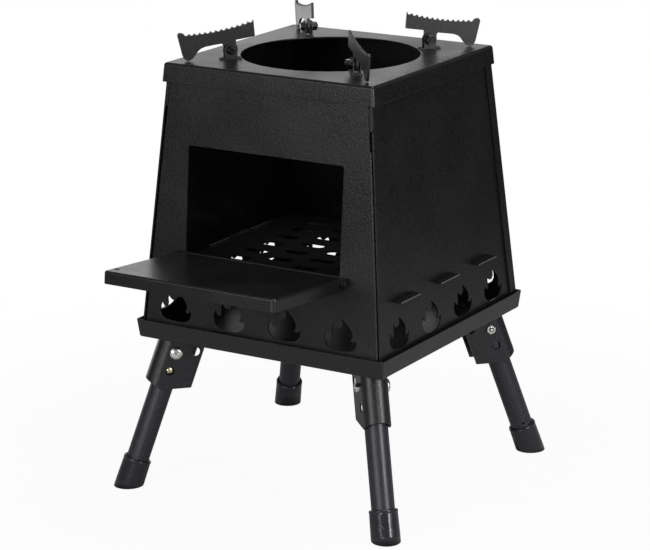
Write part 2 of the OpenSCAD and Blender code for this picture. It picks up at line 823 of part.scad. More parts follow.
module leg_bracket(turn) {
    color([0.22, 0.22, 0.235]) difference() {
        union() {
            intersection() {
                at_leg(turn)
                    translate([0, 0, -2 * bracket_h])
                        linear_extrude(height = 4 * bracket_h)
                            difference() {
                                channel_section(cheek_outer, nose_out, nose_bend);
                                translate([-past, 0])
                                    channel_section(cheek_inner, nose_out - bracket_sheet + past,
                                        max(nose_bend - bracket_sheet, 0.5));
                            }
                rotate([0, 0, turn]) rotate([90, 0, 0])
                    linear_extrude(height = 4 * cheek_outer, center = true) bracket_side();
            }
            for (s = [0, 1]) rotate([0, 0, turn]) mirror([0, s, 0])
                translate([flange_from(), cheek_outer - bracket_sheet / 2, stand_h - bracket_sheet])
                    cube([flange_to() - flange_from(), bracket_flange + bracket_sheet / 2, bracket_sheet]);
        }
        at_leg(turn) {
            rotate([90, 0, 0]) cylinder(d = leg_screw_d + 2 * run_gap, h = 4 * cheek_outer, center = true);
            translate([0, 0, -button_off]) rotate([90, 0, 0])
                cylinder(d = button_d + 2 * button_gap, h = 4 * cheek_outer, center = true);
        }
        rotate([0, 0, turn]) translate([pivot_r - button_off, 0, pivot_z]) rotate([90, 0, 0])
            cylinder(d = button_d + 2 * button_gap, h = 4 * cheek_outer, center = true);
        at_tray_rivets() translate([0, 0, stand_h - bracket_sheet - past])
            cylinder(d = tray_rivet_d + 2 * run_gap, h = bracket_sheet + 2 * past);
    }
}

module leg_tube(turn) {
    color([0.23, 0.23, 0.245]) at_leg(turn) difference() {
        translate([0, 0, -tube_end]) cylinder(d = tube_d, h = tube_end + tube_over, $fn = 64);
        translate([0, 0, -tube_end - past])
            cylinder(d = tube_d - 2 * tube_wall, h = tube_end + tube_over + 2 * past, $fn = 64);
        rotate([90, 0, 0]) cylinder(d = leg_screw_d + 2 * run_gap, h = 2 * tube_d, center = true);
        translate([0, 0, -button_off]) rotate([-90, 0, 0]) cylinder(d = button_d + 2 * run_gap, h = tube_d);
        translate([0, 0, -foot_top + vent_up]) rotate([90, 0, 0]) cylinder(d = vent_d, h = tube_d, $fn = 24);
    }
}

// Plug-on foot, cut level with the ground
module foot_cap(turn) {
    color([0.05, 0.05, 0.05]) difference() {
        at_leg(turn) difference() {
            rotate_extrude($fn = 64) polygon([
                [0, -leg_len - foot_r],
                [foot_r, -leg_len - foot_r],
                [foot_r, -leg_len + 4],
                [foot_r - 0.4, -foot_top - 2],
                [foot_r - 0.8, -foot_top - 0.7],
                [foot_r - 1.6, -foot_top],
                [0, -foot_top]
            ]);
            translate([0, 0, -tube_end - seat_gap]) cylinder(d = tube_d + 2 * run_gap, h = leg_len, $fn = 64);
        }
        rotate([0, 0, turn]) translate([pivot_r - leg_len, -leg_len, -leg_len])
            cube([2 * leg_len, 2 * leg_len, leg_len]);
    }
}

// Leg pivot screw with a pan head
module leg_screw(turn) {
    color([0.7, 0.7, 0.7]) at_leg(turn) rotate([90, 0, 0]) {
        translate([0, 0, -cheek_outer]) cylinder(d = leg_screw_d, h = 2 * cheek_outer + leg_nut_t + 0.8);
        translate([0, 0, -cheek_outer - leg_head_t])
            cylinder(d1 = leg_head_d - 4, d2 = leg_head_d, h = leg_head_t, $fn = 48);
    }
}

module leg_nut(turn) {
    color([0.6, 0.6, 0.6]) at_leg(turn) rotate([90, 0, 0])
        translate([0, 0, cheek_outer + run_gap]) hex_nut(leg_nut_af, leg_nut_t, leg_screw_d);
}

// Lock button with its inner head, drawn pressed level with the tube
module lock_button(turn) {
    color([0.75, 0.65, 0.4]) at_leg(turn) translate([0, 0, -button_off]) rotate([-90, 0, 0]) {
        translate([0, 0, button_head_out - button_head_t])
            cylinder(d = button_d + 2 * button_head_over, h = button_head_t);
        translate([0, 0, button_head_out - button_head_t])
            cylinder(d = button_d, h = button_face - 0.5 - button_head_out + button_head_t);
        translate([0, 0, button_face - 0.5]) cylinder(d1 = button_d, d2 = button_d - 1, h = 0.5);
    }
}

// Folded leaf spring behind a lock button
module button_spring(turn) {
    near = button_head_out - button_head_t - seat_gap;
    far = -(tube_d / 2 - tube_wall - 1.2);
    mid = (near + far) / 2;
    color([0.5, 0.5, 0.5]) at_leg(turn) rotate([90, 0, 90])
        linear_extrude(height = spring_w, center = true)
            polygon([
                [near, -spring_top],
                [near - spring_t, -spring_top],
                [mid, -spring_top - spring_len + 4 * spring_t],
                [far + spring_t, -spring_top],
                [far, -spring_top],
                [mid, -spring_top - spring_len]
            ]);
}

base_tray();
front_panel();
back_panel();
left_panel();
right_panel();
top_plate();
fire_grate();
fuel_door();
door_pins();
tray_rivets();
cap_rivets();
pot_support(fl);  // pot_support_fl
pot_support(fr);  // pot_support_fr
pot_support(br);  // pot_support_br
pot_support(bl);  // pot_support_bl
support_bracket(fl);  // support_bracket_fl
support_bracket(fr);  // support_bracket_fr
support_bracket(br);  // support_bracket_br
support_bracket(bl);  // support_bracket_bl
support_bolt(fl);  // support_bolt_fl
support_bolt(fr);  // support_bolt_fr
support_bolt(br);  // support_bolt_br
support_bolt(bl);  // support_bolt_bl
support_nut(fl);  // support_nut_fl
support_nut(fr);  // support_nut_fr
support_nut(br);  // support_nut_br
support_nut(bl);  // support_nut_bl
leg_bracket(fl);  // leg_bracket_fl
leg_bracket(fr);  // leg_bracket_fr
leg_bracket(br);  // leg_bracket_br
leg_bracket(bl);  // leg_bracket_bl
leg_tube(fl);  // leg_tube_fl
leg_tube(fr);  // leg_tube_fr
leg_tube(br);  // leg_tube_br
leg_tube(bl);  // leg_tube_bl
foot_cap(fl);  // foot_cap_fl
foot_cap(fr);  // foot_cap_fr
foot_cap(br);  // foot_cap_br
foot_cap(bl);  // foot_cap_bl
leg_screw(fl);  // leg_screw_fl
leg_screw(fr);  // leg_screw_fr
leg_screw(br);  // leg_screw_br
leg_screw(bl);  // leg_screw_bl
leg_nut(fl);  // leg_nut_fl
leg_nut(fr);  // leg_nut_fr
leg_nut(br);  // leg_nut_br
leg_nut(bl);  // leg_nut_bl
lock_button(fl);  // lock_button_fl
lock_button(fr);  // lock_button_fr
lock_button(br);  // lock_button_br
lock_button(bl);  // lock_button_bl
button_spring(fl);  // button_spring_fl
button_spring(fr);  // button_spring_fr
button_spring(br);  // button_spring_br
button_spring(bl);  // button_spring_bl
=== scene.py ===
"""Folding rocket stove: satin black powder-coated sheet steel on four folding legs.

Shapes are drawn in millimetres in the frame of the part's source and shrunk to metres at the end.
"""
import math

import bmesh
import bpy
from mathutils import Matrix, Vector


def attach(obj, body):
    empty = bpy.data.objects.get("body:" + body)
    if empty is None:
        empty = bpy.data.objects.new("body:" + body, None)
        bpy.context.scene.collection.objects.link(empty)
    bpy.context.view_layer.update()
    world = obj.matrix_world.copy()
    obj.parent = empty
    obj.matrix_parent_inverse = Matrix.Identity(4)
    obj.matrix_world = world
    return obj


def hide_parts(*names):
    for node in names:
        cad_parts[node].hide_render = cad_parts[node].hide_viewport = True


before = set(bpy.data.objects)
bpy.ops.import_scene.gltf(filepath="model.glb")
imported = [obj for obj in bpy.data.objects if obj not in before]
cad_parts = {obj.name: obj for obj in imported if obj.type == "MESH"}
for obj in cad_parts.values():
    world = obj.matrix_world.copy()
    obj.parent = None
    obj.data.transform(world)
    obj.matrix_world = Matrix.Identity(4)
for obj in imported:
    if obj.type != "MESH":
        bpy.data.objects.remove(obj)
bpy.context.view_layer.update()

MM = 0.001

# Sizes in millimetres, as in the part's source
SHEET = 1.5
STAND_H = 150.0
TRAY_W, TRAY_H, TRAY_CORNER, RIM_FLARE = 270.0, 18.0, 2.5, 2.0
BODY_LOW, BODY_H, BODY_HALF, BODY_TOP_HALF = 151.8, 262.4, 133.2, 110.6
TAPER_RUN = (BODY_HALF - BODY_TOP_HALF) / BODY_H
TAPER = math.atan(TAPER_RUN)
# The sheet's thickness measured level, and the turn of a fold from one leaning panel to the next
SHEET_FLAT = SHEET / math.cos(TAPER)
FLANGE_TURN = math.acos(math.sin(TAPER) ** 2)
SEAT_GAP, SEAM, CAP_GAP = 0.3, 1.3, 2.0
CAP_LOW, CAP_TOP, CAP_HOLE = 398.0, 416.0, 171.0
OPEN_W, OPEN_LOW, OPEN_H, OPEN_CORNER = 170.0, 89.0, 102.0, 2.0
DOOR_W, DOOR_LEN, DOOR_SKIRT = 185.0, 122.0, 12.0
HINGE_OUT, HINGE_LOW = 6.0, 5.0
FLAME_W, FLAME_H, FLAME_PITCH, FLAME_LOW = 35.0, 30.0, 61.0, 20.0
FLAME_SHIFT_FRONT, FLAME_SHIFT_SIDE = 3.0, 4.5
FRONT_FLANGE, BACK_FLANGE = 10.0, 12.5
GRATE_TOP, GRATE_GAP, GRATE_SHIFT = 215.7, 0.4, 8.0
TAB_LEN, TAB_PITCH, TAB_SLOT_H = 36.0, 74.5, 2.64
TONGUE_LOW, TONGUE_HIGH, HOOK_SLOT_LOW, HOOK_IN = 375.0, 397.0, 356.0, 2.2
PIVOT_R, PIVOT_Z, LEG_LEAN = 157.5, 134.2, math.radians(19.5)
TUBE_R, TUBE_WALL, FOOT_WALL, FOOT_LEN = 11.0, 1.2, 2.8, 29.0
LEG_LEN = PIVOT_Z / math.cos(LEG_LEAN)
BUTTON_OFF, BUTTON_R, BUTTON_TRAVEL = 19.0, 4.25, 2.6
# Half the outer width of a leg bracket
CHEEK = 12.8
# Outer radius of the bends in tray and door
BEND_R = 2.2
# Points closer than this are one point
TOUCH = 0.01
# Edges that turn by more than this are cut edges, which the coat rounds
CRISP = math.radians(40)

# Turn of each corner about the upright centre line
CORNERS = {"fl": 225, "fr": 315, "br": 45, "bl": 135}
FRONT, RIGHT, BACK = 0, 90, 180

# Outline of a flame-shaped air hole as parts of its width and height
FLAME = (
    (0.00, 0.000), (0.20, 0.010), (0.37, 0.060), (0.465, 0.160), (0.50, 0.290), (0.515, 0.420),
    (0.43, 0.350), (0.345, 0.345), (0.315, 0.395), (0.355, 0.460), (0.365, 0.560), (0.315, 0.690),
    (0.215, 0.830), (0.10, 0.940), (0.00, 1.000), (0.055, 0.900), (0.050, 0.790), (-0.02, 0.705),
    (-0.12, 0.700), (-0.20, 0.770), (-0.245, 0.850), (-0.275, 0.720), (-0.255, 0.590), (-0.275, 0.480),
    (-0.335, 0.430), (-0.395, 0.490), (-0.455, 0.600), (-0.500, 0.450), (-0.500, 0.290), (-0.44, 0.150),
    (-0.33, 0.060), (-0.18, 0.010),
)


def half_at(z):
    """Half the body's outer width at a height."""
    return BODY_HALF - TAPER_RUN * (z - BODY_LOW)


def up_slope(z):
    """Distance up a panel's face at a height."""
    return (z - BODY_LOW) / math.cos(TAPER)


def slope_point(z, inset=0.0, side=1):
    """Point on a panel's sloping edge at a height, some way in from it."""
    return (side * (half_at(z) - inset), up_slope(z), 0)


def oblong(x, y, wide, high):
    """Corners of an upright oblong, from the lower left one on."""
    return [(x, y, 0), (x + wide, y, 0), (x + wide, y + high, 0), (x, y + high, 0)]


def mirrored(points):
    """A line's points in a mirror, the last one first."""
    return [(-x, y, z) for x, y, z in reversed(points)]


def turned(turn):
    """Turn about the upright centre line."""
    return Matrix.Rotation(math.radians(turn), 4, "Z")


def on_face(turn):
    """Place of a panel's face: x to the right, y up the slope, z outward."""
    return (turned(turn) @ Matrix.Translation((0, -BODY_HALF, BODY_LOW))
            @ Matrix.Rotation(math.radians(90) - TAPER, 4, "X"))


def facing(place, way=(0, 0, 1)):
    """A direction of a place; without one, its outward direction."""
    return place.to_3x3() @ Vector(way)


def at_leg(turn):
    """Place of a leg's pivot: x out from the leg, y round the ring, z up the leg."""
    return (turned(turn) @ Matrix.Translation((PIVOT_R, 0, PIVOT_Z))
            @ Matrix.Rotation(-LEG_LEAN, 4, "Y"))


# Camera: a long lens from the front right, a little above the cap, as in the photograph
CAMERA_SPOT = (1.262199, -2.064188, 0.889796)
CAMERA_TURN, CAMERA_DOWN, CAMERA_ROLL = 31.6063, 15.9696, -0.38613
camera = bpy.data.objects.new("camera", bpy.data.cameras.new("camera"))
bpy.context.scene.collection.objects.link(camera)
bpy.context.scene.camera = camera
camera.matrix_world = (Matrix.Translation(CAMERA_SPOT)
                       @ Matrix.Rotation(math.radians(CAMERA_TURN), 4, "Z")
                       @ Matrix.Rotation(math.radians(90 - CAMERA_DOWN), 4, "X")
                       @ Matrix.Rotation(math.radians(CAMERA_ROLL), 4, "Z"))
camera.data.sensor_fit = "HORIZONTAL"
camera.data.sensor_width = 36.0
camera.data.lens = 143.371
camera.data.clip_end = 50.0


# Finishes
def linear(hex_colour):
    """sRGB hex to linear light."""
    parts = [int(hex_colour[i:i + 2], 16) / 255 for i in (1, 3, 5)]
    return tuple(p / 12.92 if p <= 0.04045 else ((p + 0.055) / 1.055) ** 2.4 for p in parts) + (1.0,)


def add(tree, kind, sockets=None, **settings):
    """Adds a node with its settings; a socket takes a value or the output that feeds it."""
    made = tree.nodes.new(kind)
    for name, value in settings.items():
        setattr(made, name, value)
    for name, value in (sockets or {}).items():
        if isinstance(value, bpy.types.NodeSocket):
            tree.links.new(value, made.inputs[name])
        else:
            made.inputs[name].default_value = value
    return made


def new_finish(name):
    """An empty material with its output, and the piece's own coordinates in metres."""
    finish = bpy.data.materials.new(name)
    finish.use_nodes = True
    tree = finish.node_tree
    tree.nodes.clear()
    return finish, tree, add(tree, "ShaderNodeTexCoord").outputs["Object"]


def powder_coat(name, deep, pale, rough, grit, grit_height, ior=1.5):
    """Baked powder coat on steel: a pebbled satin skin over a faint orange peel.

    The skin's grit scatters the highlights into fine speckle, the peel makes them waver over
    a few centimetres, and handling leaves cloudy patches that are a little duller.
    """
    finish, tree, place = new_finish(name)
    # Real grit is 0.2 to 0.4 mm; drawn coarser, so that it shows at about 1 mm per pixel
    pebbles = add(tree, "ShaderNodeTexNoise", {"Vector": place, "Scale": 1 / (grit * MM), "Detail": 3.0,
                                               "Roughness": 0.6})
    peel = add(tree, "ShaderNodeTexNoise", {"Vector": place, "Scale": 1 / (7 * MM), "Detail": 1.0})
    clouds = add(tree, "ShaderNodeTexNoise", {"Vector": place, "Scale": 1 / (55 * MM), "Detail": 3.0})
    speckle = add(tree, "ShaderNodeMapRange", {"Value": pebbles.outputs["Fac"], "From Min": 0.42,
                                               "From Max": 0.72, "To Min": 0.0, "To Max": 1.0})
    shade = add(tree, "ShaderNodeMix", {"Factor": speckle.outputs["Result"], "A": linear(deep),
                                        "B": linear(pale)}, data_type="RGBA")
    dull = add(tree, "ShaderNodeMapRange", {"Value": clouds.outputs["Fac"], "From Min": 0.35,
                                            "From Max": 0.65, "To Min": rough - 0.03, "To Max": rough + 0.04})
    bend = add(tree, "ShaderNodeBump", {"Height": peel.outputs["Fac"], "Distance": 0.05 * MM,
                                        "Strength": 0.5})
    skin = add(tree, "ShaderNodeBump", {"Height": pebbles.outputs["Fac"], "Distance": grit_height * MM,
                                        "Strength": 1.0, "Normal": bend.outputs["Normal"]})
    coat = add(tree, "ShaderNodeBsdfPrincipled", {
        "Base Color": shade.outputs["Result"], "Roughness": dull.outputs["Result"], "IOR": ior,
        "Metallic": 0.0, "Normal": skin.outputs["Normal"]})
    add(tree, "ShaderNodeOutputMaterial", {"Surface": coat.outputs["BSDF"]})
    return finish


def bare_metal(name, deep, pale, rough, lay):
    """Plated or bare metal: a mirror-like skin whose glints a fine grain spreads; lay is its size in mm."""
    finish, tree, place = new_finish(name)
    grain = add(tree, "ShaderNodeTexNoise", {"Vector": place, "Scale": 1 / (lay * MM), "Detail": 4.0,
                                             "Roughness": 0.7})
    shade = add(tree, "ShaderNodeMix", {"Factor": grain.outputs["Fac"], "A": linear(deep),
                                        "B": linear(pale)}, data_type="RGBA")
    dull = add(tree, "ShaderNodeMapRange", {"Value": grain.outputs["Fac"], "To Min": rough - 0.06,
                                            "To Max": rough + 0.08})
    skin = add(tree, "ShaderNodeBump", {"Height": grain.outputs["Fac"], "Distance": 0.01 * MM,
                                        "Strength": 0.6})
    metal = add(tree, "ShaderNodeBsdfPrincipled", {
        "Base Color": shade.outputs["Result"], "Roughness": dull.outputs["Result"], "Metallic": 1.0,
        "Normal": skin.outputs["Normal"]})
    add(tree, "ShaderNodeOutputMaterial", {"Surface": metal.outputs["BSDF"]})
    return finish


# Satin black body coat: dark grey from the front, pale at a grazing look
body_coat = powder_coat("satin_black_powder_coat", "#050506", "#1a1a1d", 0.34, 2.0, 0.17)
# The same coat on the grate inside the fire chamber, dulled by a trace of ash and soot
fire_coat = powder_coat("sooted_powder_coat", "#101010", "#1a1a19", 0.70, 1.6, 0.05, 1.2)
# Coarser, more speckled coat on the stamped pot supports
support_coat = powder_coat("coarse_black_powder_coat", "#0b0b0d", "#26262a", 0.37, 1.3, 0.09)
# Bluish dark grey coat on the leg tubes, smoother, with one soft stripe of light along each
tube_coat = powder_coat("blue_black_powder_coat", "#19191e", "#303039", 0.36, 1.5, 0.03)
# The same colour on the leg brackets, in a hammered coat that glitters in small spots
bracket_coat = powder_coat("hammered_blue_black_coat", "#0a0a0d", "#25252c", 0.33, 2.0, 0.15)
# Bright zinc plate on the leg screws and nuts: near-white with soft grey reflections
zinc = bare_metal("bright_zinc_plate", "#dcdcd8", "#f4f4f0", 0.24, 0.6)
# Black zinc plate on the hardware of the pot supports: dark, with small white glints
black_zinc = bare_metal("black_zinc_plate", "#2c2c2e", "#515154", 0.22, 0.5)
# Pale brass plate on the lock buttons: warm yellow ring round a white glint
brass = bare_metal("pale_brass_plate", "#d8cba0", "#f0e8c8", 0.26, 0.5)
# Grate tab ends, rubbed bright where they slide through their slots
rubbed_steel = bare_metal("rubbed_steel_edge", "#6e7073", "#9c9ea0", 0.36, 0.8)
# Blued spring steel of the leaf springs
spring_steel = bare_metal("drawn_spring_steel", "#6d7076", "#8b8e92", 0.32, 0.8)


def moulded_plastic(name, colour, rough):
    """Injection-moulded soft PVC: glossy black with a slight waviness from the tool."""
    finish, tree, place = new_finish(name)
    waves = add(tree, "ShaderNodeTexNoise", {"Vector": place, "Scale": 1 / (9 * MM), "Detail": 2.0})
    scuffs = add(tree, "ShaderNodeTexNoise", {"Vector": place, "Scale": 1 / (1.5 * MM), "Detail": 5.0,
                                              "Roughness": 0.7})
    dull = add(tree, "ShaderNodeMapRange", {"Value": scuffs.outputs["Fac"], "From Min": 0.4, "From Max": 0.7,
                                            "To Min": rough, "To Max": rough + 0.14})
    skin = add(tree, "ShaderNodeBump", {"Height": waves.outputs["Fac"], "Distance": 0.4 * MM,
                                        "Strength": 0.7})
    tint = add(tree, "ShaderNodeMix", {"Factor": scuffs.outputs["Fac"], "A": linear(colour),
                                       "B": linear("#26262a")}, data_type="RGBA")
    plastic = add(tree, "ShaderNodeBsdfPrincipled", {
        "Base Color": tint.outputs["Result"], "Roughness": dull.outputs["Result"], "IOR": 1.42,
        "Normal": skin.outputs["Normal"]})
    add(tree, "ShaderNodeOutputMaterial", {"Surface": plastic.outputs["BSDF"]})
    return finish


# Glossy black foot caps with long upright highlights
foot_plastic = moulded_plastic("glossy_black_pvc", "#222227", 0.11)


# Modelling
def wire(bm, points, place=Matrix()):
    """A closed line through a few points; returns its edges."""
    verts = [bm.verts.new(place @ Vector(p)) for p in points]
    return [bm.edges.new(pair) for pair in zip(verts, verts[1:] + verts[:1])]


def corners_of(edges):
    """The points at the ends of some edges."""
    return list({v for e in edges for v in e.verts})


def round_wire(bm, place, radius, steps):
    """A circle round the z axis of a place; returns its edges."""
    made = bmesh.ops.create_circle(bm, cap_ends=False, radius=radius, segments=steps, matrix=place)
    return list({e for v in made["verts"] for e in v.link_edges})


def round_off(bm, parts, radius, steps=6, affect="VERTICES", held=False):
    """Rounds the corners of a flat line or sheet, or with EDGES the bends of a folded one."""
    bmesh.ops.bevel(bm, geom=parts, offset=radius, offset_type="OFFSET", segments=steps, profile=0.5,
                    affect=affect, material=-1, clamp_overlap=held)


def fill_flat(bm, edges, outward):
    """Fills a flat sheet inside its outer line and round its holes."""
    made = bmesh.ops.triangle_fill(bm, use_beauty=True, use_dissolve=False, edges=edges, normal=outward)
    faces = [g for g in made["geom"] if isinstance(g, bmesh.types.BMFace)]
    bm.normal_update()
    backward = [f for f in faces if f.normal.dot(outward) < 0]
    bmesh.ops.reverse_faces(bm, faces=backward)


def merge_flat(bm):
    """Joins the triangles of the flat sheets and keeps their outlines."""
    inner = [e for e in bm.edges if not e.is_boundary]
    bmesh.ops.dissolve_limit(bm, angle_limit=0.001, verts=[], edges=inner)


def flat_tab(bm, points, place, outward, rounded, radius, steps=6):
    """Adds a flat piece of sheet; rounded says which of its corners are rounded off."""
    before = set(bm.edges)
    rim = wire(bm, points, place)
    round_off(bm, [rim[i].verts[0] for i in rounded], radius, steps)
    fill_flat(bm, [e for e in bm.edges if e not in before and e.is_wire], outward)


def edge_between(bm, ends):
    """The edge of a sheet's outline that runs between two points."""
    return next(e for e in bm.edges if e.is_boundary and all(
        min((v.co - end).length for end in ends) < TOUCH for v in e.verts))


def fold(bm, edges, radius, angle, length):
    """Bends a sheet on from its straight edge, away from its outer side, then straight on."""
    face = edges[0].link_faces[0]
    start = edges[0].verts[0].co.copy()
    along = (edges[0].verts[1].co - start).normalized()
    out = along.cross(face.normal)
    if out.dot(face.calc_center_median() - start) > 0:
        out.negate()
    axis = face.normal.cross(out)
    bent = bmesh.ops.spin(bm, geom=corners_of(edges) + edges, cent=start - face.normal * radius, axis=axis,
                          dvec=(0, 0, 0), angle=angle, steps=6, use_duplicate=False)
    last = [g for g in bent["geom_last"] if isinstance(g, bmesh.types.BMEdge)]
    if length:
        grown = bmesh.ops.extrude_edge_only(bm, edges=last)["geom"]
        bmesh.ops.translate(bm, vec=Matrix.Rotation(angle, 3, axis) @ out * length,
                            verts=[g for g in grown if isinstance(g, bmesh.types.BMVert)])


def face_outward(bm, faces, seed, outward):
    """Turns a joined sheet's faces the same way, with the seed face outward."""
    bmesh.ops.recalc_face_normals(bm, faces=faces)
    if seed.normal.dot(outward) < 0:
        bmesh.ops.reverse_faces(bm, faces=faces)


def cut_round(bm, face, centre, radius, steps, outward):
    """Cuts a round hole in a flat face."""
    rim = list(face.edges)
    bmesh.ops.delete(bm, geom=[face], context="FACES_ONLY")
    tilt = Vector((0, 0, 1)).rotation_difference(Vector(outward)).to_matrix().to_4x4()
    loop = round_wire(bm, Matrix.Translation(centre) @ tilt, radius, steps)
    fill_flat(bm, rim + loop, Vector(outward))


def finish_piece(name, bm, body, nodes, coat, wall=0.0, edge=0.0, millimetres=True):
    """Makes the piece: wall is the sheet it is bent from, edge the rounding the coat gives to cut edges."""
    if millimetres:
        bmesh.ops.scale(bm, vec=(MM, MM, MM), verts=bm.verts)
    mesh = bpy.data.meshes.new(name)
    bm.to_mesh(mesh)
    bm.free()
    mesh.materials.append(coat)
    mesh.shade_smooth()
    piece = bpy.data.objects.new(name, mesh)
    bpy.context.scene.collection.objects.link(piece)
    if wall:
        steel = piece.modifiers.new("sheet", "SOLIDIFY")
        steel.thickness = wall * MM
        steel.offset = -1.0
        steel.use_even_offset = True
        steel.use_quality_normals = True
    if edge:
        rounding = piece.modifiers.new("coated_edge", "BEVEL")
        rounding.limit_method = "ANGLE"
        rounding.angle_limit = CRISP
        rounding.width = edge * MM
        rounding.segments = 2
        rounding.profile = 0.5
    flat = piece.modifiers.new("flat_faces", "WEIGHTED_NORMAL")
    flat.weight = 60
    flat.keep_sharp = True
    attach(piece, body)
    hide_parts(*nodes)
    return piece


def sheet_piece(name, bm, body, node, edge=0.3):
    """A piece bent from the stove's sheet, in the body's coat."""
    finish_piece(name, bm, body, [node], body_coat, wall=SHEET, edge=edge)


def coated_copy(node, body, coat, edge):
    """A CAD solid, merged and with its cut edges rounded by the coat."""
    bm = bmesh.new()
    bm.from_mesh(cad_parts[node].data)
    bmesh.ops.remove_doubles(bm, verts=bm.verts, dist=0.004 * MM)
    bmesh.ops.dissolve_limit(bm, angle_limit=math.radians(0.5), verts=bm.verts, edges=bm.edges,
                             use_dissolve_boundaries=False)
    return finish_piece(node + "_coated", bm, body, [node], coat, edge=edge, millimetres=False)


def flame_wires(bm, place, shift):
    """The four flame-shaped air holes of one side."""
    low = up_slope(STAND_H + FLAME_LOW)
    edges = []
    for i in (-1.5, -0.5, 0.5, 1.5):
        middle = i * FLAME_PITCH + shift
        edges += wire(bm, [(middle + u * FLAME_W, low + v * FLAME_H, 0) for u, v in FLAME], place)
    return edges


def base_tray():
    """Square tray, bent up all round, its rim flared a little outward."""
    bm = bmesh.new()
    half = TRAY_W / 2
    wire(bm, oblong(-half, -half, TRAY_W, TRAY_W), Matrix.Translation((0, 0, STAND_H)))
    round_off(bm, list(bm.verts), TRAY_CORNER, 8)
    fill_flat(bm, list(bm.edges), Vector((0, 0, -1)))
    bmesh.ops.dissolve_limit(bm, angle_limit=0.01, verts=bm.verts, edges=bm.edges)
    rim = [e for e in bm.edges if e.is_boundary]
    wall = bmesh.ops.extrude_edge_only(bm, edges=rim)["geom"]
    top = [g for g in wall if isinstance(g, bmesh.types.BMVert)]
    flare = (half + RIM_FLARE) / half
    bmesh.ops.scale(bm, vec=(flare, flare, 1), verts=top)
    bmesh.ops.translate(bm, vec=(0, 0, TRAY_H), verts=top)
    bmesh.ops.recalc_face_normals(bm, faces=bm.faces)
    bm.normal_update()
    if max(bm.faces, key=lambda f: f.calc_area()).normal.z > 0:
        bmesh.ops.reverse_faces(bm, faces=bm.faces)
    bend = [e for e in bm.edges if all(abs(v.co.z - STAND_H) < TOUCH for v in e.verts)]
    round_off(bm, bend, BEND_R, affect="EDGES", held=True)
    sheet_piece("tray_sheet", bm, "stove", "base_tray", edge=0.35)


def front_panel():
    """Front sheet with the fuel opening, folded side flanges, hook slots and hinge ears."""
    bm = bmesh.new()
    place = on_face(FRONT)
    bend = 1.5
    inset = SHEET_FLAT + SEAM + bend
    heights = [BODY_LOW, HOOK_SLOT_LOW, CAP_LOW, BODY_LOW + BODY_H]
    right = [slope_point(z, inset) for z in heights]
    wire(bm, right + mirrored(right), place)
    low = up_slope(STAND_H + OPEN_LOW)
    gap = wire(bm, oblong(-OPEN_W / 2, low, OPEN_W, OPEN_H), place)
    round_off(bm, corners_of(gap), OPEN_CORNER)
    flame_wires(bm, place, -FLAME_SHIFT_FRONT)
    fill_flat(bm, list(bm.edges), facing(place))
    merge_flat(bm)
    bm.normal_update()
    folds = [edge_between(bm, [place @ Vector(slope_point(z, inset, side)) for z in ends])
             for side in (-1, 1) for ends in (heights[:2], heights[2:])]
    for edge in folds:
        fold(bm, [edge], bend, FLANGE_TURN, FRONT_FLANGE - bend)
    face_outward(bm, bm.faces[:], max(bm.faces, key=lambda f: f.calc_area()), facing(place))
    # Ears that carry the door pins, round about them
    lobe = HINGE_LOW
    hinge, tip, root = low - HINGE_LOW, HINGE_OUT + lobe, -0.5
    for side in (-1, 1):
        x = side * (DOOR_W / 2 + SEAT_GAP + SHEET)
        ear = [(x, hinge - lobe, root), (x, hinge + lobe, root),
               (x, hinge + lobe, tip), (x, hinge - lobe, tip)]
        flat_tab(bm, ear, place, facing(place, (side, 0, 0)), [2, 3], lobe - 0.02, 8)
    sheet_piece("front_sheet", bm, "stove", "front_panel")


def side_panel(side):
    """Side sheet with flames, slots for the grate's tabs and a tongue that hooks into the front."""
    bm = bmesh.new()
    place = on_face(RIGHT)
    top, rear = BODY_LOW + BODY_H, SHEET_FLAT + SEAT_GAP
    wire(bm, [slope_point(BODY_LOW, side=-1), slope_point(BODY_LOW, rear), slope_point(top, rear),
              slope_point(top, side=-1)], place)
    flame_wires(bm, place, -FLAME_SHIFT_SIDE)
    slot_low = up_slope(GRATE_TOP - SHEET - GRATE_GAP)
    for i in (-1, 0, 1):
        start = i * TAB_PITCH - GRATE_SHIFT - TAB_LEN / 2 - GRATE_GAP
        wire(bm, oblong(start, slot_low, TAB_LEN + 2 * GRATE_GAP, TAB_SLOT_H), place)
    fill_flat(bm, list(bm.edges), facing(place))
    merge_flat(bm)
    # The tongue lies flush in the front panel's plane, its upper inner corner rounded
    face = on_face(FRONT)
    reach, shy = SHEET_FLAT + HOOK_IN, 0.05
    flat_tab(bm, [slope_point(TONGUE_LOW, reach), slope_point(TONGUE_LOW, shy),
                  slope_point(TONGUE_HIGH, shy), slope_point(TONGUE_HIGH, reach)],
             face, facing(face), [3], 1.8)
    if side < 0:
        bmesh.ops.scale(bm, vec=(-1, 1, 1), verts=bm.verts)
        bmesh.ops.reverse_faces(bm, faces=bm.faces)
    name = "right" if side > 0 else "left"
    sheet_piece(name + "_sheet", bm, "stove", name + "_panel")


